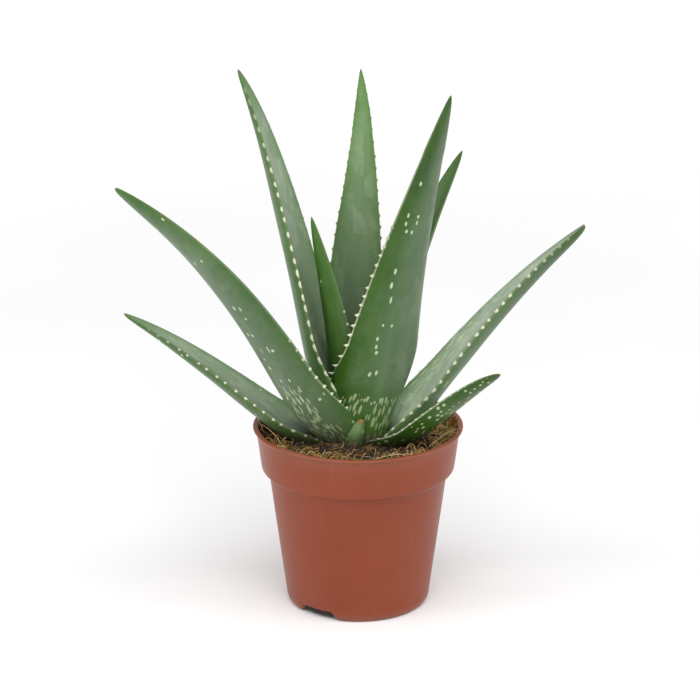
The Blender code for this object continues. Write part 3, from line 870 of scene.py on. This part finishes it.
def soil_height(x, y):
    """Height of the soil's surface, millimetres."""
    r = math.hypot(x, y)
    radii, heights = zip(*SOIL_TOP)
    base = float(np.interp(r, radii, heights))
    broad = noise.noise(Vector((x / 15.0, y / 15.0, 4.0)))
    lumps = noise.fractal(Vector((x / 4.5, y / 4.5, 9.0)), 0.9, 2.1, 5)
    return base + 1.1 * broad + 1.35 * lumps * min(1.0, max(0.0, (SOIL_RADIUS - r) / 3.0))


def make_soil(material):
    """The uneven top of the peat, a thin closed piece over the CAD soil."""
    rings, steps = SOIL_RINGS, SOIL_STEPS
    turns = [2 * math.pi * j / steps for j in range(steps)]
    vertices = []
    for i in range(rings):
        r = SOIL_RADIUS * ((i + 0.5) / rings) ** 0.85
        for a in turns:
            x, y = r * math.cos(a), r * math.sin(a)
            vertices.append((x, y, soil_height(x, y)))
    vertices += [(SOIL_RADIUS * math.cos(a), SOIL_RADIUS * math.sin(a), SOIL_UNDERSIDE) for a in turns]
    vertices += [(0.0, 0.0, soil_height(0.0, 0.0)), (0.0, 0.0, SOIL_UNDERSIDE)]
    top, under = len(vertices) - 2, len(vertices) - 1
    last = rings * steps
    faces = list(map(tuple, grid_faces(rings + 1, steps)))
    faces += [(top, (j + 1) % steps, j) for j in range(steps)]
    faces += [(under, last + j, last + (j + 1) % steps) for j in range(steps)]
    obj = new_object("soil_surface", np.array(vertices) * MM, faces, material)
    mesh = bmesh.new()
    mesh.from_mesh(obj.data)
    bmesh.ops.recalc_face_normals(mesh, faces=mesh.faces[:])
    mesh.to_mesh(obj.data)
    mesh.free()
    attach(obj, "root")
    return obj


FIBRE_TINTS = [
    ((0.46, 0.25, 0.06), 5), ((0.55, 0.38, 0.15), 3), ((0.30, 0.21, 0.035), 2),
    ((0.66, 0.55, 0.33), 1), ((0.20, 0.080, 0.025), 5), ((0.055, 0.028, 0.014), 4),
]
TUBE_SIDES = 5
FIBRES, CURLS, RIM_STRANDS, CRUMBS = 1900, 240, 34, 1300
LITTER_TOP, LITTER_EDGE = 106.6, 56.8  # how high and how far out the curls may reach
STRAW_COLOUR = (0.58, 0.40, 0.20)


def tube(path, radius):
    """A closed five-sided tube along a path, thinner at its ends."""
    path = np.asarray(path)
    ahead = np.gradient(path, axis=0)
    ahead /= np.linalg.norm(ahead, axis=1)[:, None] + 1e-9
    ref = np.array([0.0, 0.0, 1.0]) if abs(ahead[0][2]) < 0.8 else np.array([1.0, 0.0, 0.0])
    a = np.cross(ahead, ref)
    a /= np.linalg.norm(a, axis=1)[:, None] + 1e-9
    b = np.cross(ahead, a)
    size = radius * (0.35 + 0.65 * np.sin(np.linspace(0.12, 3.02, len(path))) ** 0.5)
    turn = np.linspace(0, 2 * math.pi, TUBE_SIDES, endpoint=False)
    rings = path[:, None] + size[:, None, None] * (
        a[:, None] * np.cos(turn)[None, :, None] + b[:, None] * np.sin(turn)[None, :, None]
    )
    faces = list(map(tuple, grid_faces(len(path), TUBE_SIDES)[:, ::-1]))
    last = (len(path) - 1) * TUBE_SIDES
    faces.append(tuple(range(TUBE_SIDES)))
    faces.append(tuple(last + k for k in reversed(range(TUBE_SIDES))))
    return rings.reshape(-1, 3), faces


def kept_inside(x, y, radius):
    reach = math.hypot(x, y)
    return (x * radius / reach, y * radius / reach) if reach > radius else (x, y)


def litter_object(name, vertices, faces, colours, material):
    obj = new_object(name, np.concatenate(vertices), faces, material)
    tint = np.concatenate(colours)
    set_attribute(obj, "tint", np.column_stack([tint, np.ones(len(tint))]), "FLOAT_COLOR")
    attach(obj, "root")
    return obj


class Strands:
    """Thin tubes gathered for one mesh, each in a colour of its own."""

    def __init__(self):
        self.vertices, self.faces, self.colours = [], [], []

    def add(self, path, radius, tint):
        points, sides = tube(np.array(path) * MM, radius * MM)
        start = sum(len(v) for v in self.vertices)
        self.vertices.append(points)
        self.faces.extend(tuple(k + start for k in side) for side in sides)
        self.colours.append(np.tile(tint, (len(points), 1)))


def lying_fibres(strands, rng, tints):
    """Fibres that lie in clumps all over the peat."""
    for _ in range(FIBRES):
        r = SOIL_RADIUS * math.sqrt(rng.uniform(0.02, 1.0)) * 0.985
        a = rng.uniform(0, 2 * math.pi)
        x, y = r * math.cos(a), r * math.sin(a)
        clump = noise.noise(Vector((x / 8.0, y / 8.0, 21.0)))
        if clump < rng.normal(0.06, 0.10):
            continue
        heading = rng.uniform(0, 2 * math.pi)
        curl = rng.normal(0.0, 0.30)
        steps = int(rng.integers(8, 20))
        stride = rng.uniform(0.7, 1.5)
        lift = rng.uniform(0.1, 1.2) if rng.uniform() < 0.7 else rng.uniform(1.2, 4.0)
        path = []
        for k in range(steps):
            height = soil_height(x, y) + lift * math.sin(math.pi * (k / (steps - 1))) + 0.15
            path.append((x, y, height))
            heading += curl + rng.normal(0.0, 0.22)
            x += stride * math.cos(heading)
            y += stride * math.sin(heading)
            x, y = kept_inside(x, y, SOIL_RADIUS - 0.3)
        tint = tints[rng.integers(len(tints))] * rng.uniform(0.45, 1.15)
        strands.add(path, rng.uniform(0.10, 0.22), tint)


def standing_curls(strands, rng, tints):
    """Curls that stand up inside the rim, thickest at the front left and on the right."""
    for _ in range(CURLS):
        a = math.radians(rng.choice([rng.normal(300, 34), rng.normal(238, 24), rng.normal(5, 30)]))
        r = rng.uniform(44.0, 55.5)
        x, y = r * math.cos(a), r * math.sin(a)
        heading = a + rng.normal(math.pi / 2, 0.7) * rng.choice([-1, 1])
        size = rng.uniform(2.0, 6.0)
        path = []
        for k in range(12):
            share = k / 11
            swing = heading + 2.2 * share
            z = soil_height(x, y) + size * math.sin(math.pi * share * 0.9)
            path.append((x, y, min(z, LITTER_TOP)))
            x += 0.75 * math.cos(swing)
            y += 0.75 * math.sin(swing)
            x, y = kept_inside(x, y, LITTER_EDGE)
        tint = tints[rng.integers(len(tints) // 2)] * rng.uniform(0.8, 1.25)
        strands.add(path, rng.uniform(0.12, 0.24), tint)


def rim_strands(strands, rng, tints):
    """Strands that lean over the rim."""
    for i in range(RIM_STRANDS):
        a = math.radians(rng.choice([rng.normal(352, 22), rng.normal(200, 10), rng.normal(268, 30)],
                                    p=[0.6, 0.15, 0.25]))
        sway = rng.normal(0.0, 0.10)
        end = rng.uniform(55.5, 60.2)
        path = []
        for share in np.linspace(0.0, 1.0, 12):
            r = 48.0 + (end - 48.0) * share
            turn = a + sway * math.sin(2.4 * share) + 0.012 * math.sin(9.0 * share + i)
            x, y = r * math.cos(turn), r * math.sin(turn)
            low = soil_height(x, y) + 0.3 if r < 55.0 else 102.0
            z = float(np.interp(r, (48.0, 54.5, 57.2, 60.2), (low, 105.6, 107.0, 106.7)))
            path.append((x, y, z))
        tint = tints[rng.integers(len(tints) // 2)] * rng.uniform(0.6, 1.2)
        strands.add(path, rng.uniform(0.10, 0.19), tint)


def straws(strands):
    """A few long straws: one from the left of the rim down to the front, others across the soil."""
    for ends, bow in (
        (((-55.0, -3.0, 106.9), (-43.0, -22.0, 101.2)), 1.6),
        (((-57.5, -1.0, 110.0), (-54.0, -5.0, 103.0)), 0.5),
        (((-20.0, -50.0, 103.5), (6.0, -53.0, 101.5)), -2.0),
        (((8.0, -48.0, 102.5), (34.0, -42.0, 103.0)), 2.2),
        (((40.0, -30.0, 103.5), (56.0, -6.0, 105.5)), 1.8),
    ):
        first, last = np.array(ends[0]), np.array(ends[1])
        share = np.linspace(0.0, 1.0, 16)[:, None]
        arch = np.sin(math.pi * share) * np.array((0.3, -0.6, 1.0)) * bow
        strands.add(first + (last - first) * share + arch, 0.26, np.array(STRAW_COLOUR))


def make_fibres(material):
    rng = np.random.default_rng(SEED + 5)
    tints = [np.array(t) for t, weight in FIBRE_TINTS for _ in range(weight)]
    strands = Strands()
    lying_fibres(strands, rng, tints)
    standing_curls(strands, rng, tints)
    rim_strands(strands, rng, tints)
    straws(strands)
    return litter_object("soil_fibres", strands.vertices, strands.faces, strands.colours, material)


def make_crumbs(material):
    """Bits of bark and peat lying on the soil."""
    rng = np.random.default_rng(SEED + 6)
    base = bmesh.new()
    bmesh.ops.create_icosphere(base, subdivisions=1, radius=1.0)
    shape = np.array([v.co[:] for v in base.verts])
    triangles = [tuple(v.index for v in f.verts) for f in base.faces]
    base.free()
    vertices, faces, colours = [], [], []
    for _ in range(CRUMBS):
        r = SOIL_RADIUS * math.sqrt(rng.uniform(0.02, 1.0)) * 0.98
        a = rng.uniform(0, 2 * math.pi)
        x, y = r * math.cos(a), r * math.sin(a)
        size = rng.uniform(0.35, 1.5) * (1.0 if rng.uniform() < 0.93 else 1.7)
        stretch = np.array([rng.uniform(0.5, 1.6), rng.uniform(0.4, 1.0), rng.uniform(0.3, 0.8)])
        turn = rng.uniform(0, 2 * math.pi)
        bits = shape * (1.0 + rng.normal(0, 0.16, shape.shape)) * stretch * size
        c, s = math.cos(turn), math.sin(turn)
        bits = np.column_stack([bits[:, 0] * c - bits[:, 1] * s, bits[:, 0] * s + bits[:, 1] * c, bits[:, 2]])
        start = len(vertices) * len(shape)
        vertices.append((bits + (x, y, soil_height(x, y) + 0.2 * size)) * MM)
        faces += [tuple(k + start for k in t) for t in triangles]
        dark = rng.uniform()
        tint = np.array((0.018, 0.011, 0.007)) if dark < 0.6 else np.array((0.085, 0.040, 0.018))
        if dark > 0.93:
            tint = np.array((0.22, 0.13, 0.05))
        colours.append(np.tile(tint * rng.uniform(0.7, 1.3), (len(shape), 1)))
    return litter_object("soil_crumbs", vertices, faces, colours, material)


# ---------------------------------------------------------------- studio


# Each soft light: name, place in metres, width and height in metres, and watts.
LIGHTS = (
    ("front", (0.15, -1.45, 2.15), (2.2, 2.2), 46.0),
    ("left", (-1.5, -0.5, 0.8), (0.9, 1.4), 9.0),
    ("right", (1.5, -0.35, 0.8), (0.9, 1.4), 7.0),
)
LIT_POINT = (0.0, 0.0, 0.15)
SKY_STRENGTH = 0.58
FLOOR_SIDE = 10.0
CAMERA_PLACE = (-0.0046, -1.700, 0.735)
CAMERA_DOWN = 18.97  # degrees below level
CAMERA_LENS = 163.1  # millimetres, on a sensor 36 mm wide


def area_light(name, place, size, power):
    light = bpy.data.lights.new(name, "AREA")
    light.shape = "RECTANGLE"
    light.size, light.size_y = size
    light.energy = power
    obj = bpy.data.objects.new(name, light)
    bpy.context.scene.collection.objects.link(obj)
    obj.location = place
    obj.rotation_euler = (Vector(LIT_POINT) - Vector(place)).to_track_quat("-Z", "Y").to_euler()


def make_studio():
    bpy.ops.mesh.primitive_plane_add(size=FLOOR_SIDE, location=(0.0, 0.0, 0.0))
    floor = bpy.context.object
    floor.name = "floor"
    floor.data.materials.append(studio_floor())

    world = bpy.data.worlds.new("studio")
    world.use_nodes = True
    background = world.node_tree.nodes["Background"]
    background.inputs["Color"].default_value = (1.0, 1.0, 1.0, 1.0)
    background.inputs["Strength"].default_value = SKY_STRENGTH
    bpy.context.scene.world = world
    for light in LIGHTS:
        area_light(*light)

    camera = bpy.data.cameras.new("camera")
    camera.sensor_width = 36.0
    camera.lens = CAMERA_LENS
    camera.clip_end = 50.0
    obj = bpy.data.objects.new("camera", camera)
    bpy.context.scene.collection.objects.link(obj)
    obj.location = CAMERA_PLACE
    obj.rotation_euler = (math.radians(90.0 - CAMERA_DOWN), 0.0, 0.0)
    bpy.context.scene.camera = obj
    settings = bpy.context.scene.view_settings
    settings.view_transform = "Standard"
    settings.look = "None"
    settings.exposure = 0.0
    settings.gamma = 1.0


for index, (name, leaf) in enumerate(LEAVES.items()):
    make_leaf(name, {**USUAL_LEAF, **leaf}, index)
make_pot(pot_plastic())
soil_material = peat()
make_soil(soil_material)
litter_material = litter()
make_fibres(litter_material)
make_crumbs(litter_material)
for node, material in (("soil", soil_material), ("stem", stem_skin())):
    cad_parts[node].data.materials.clear()
    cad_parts[node].data.materials.append(material)
make_studio()
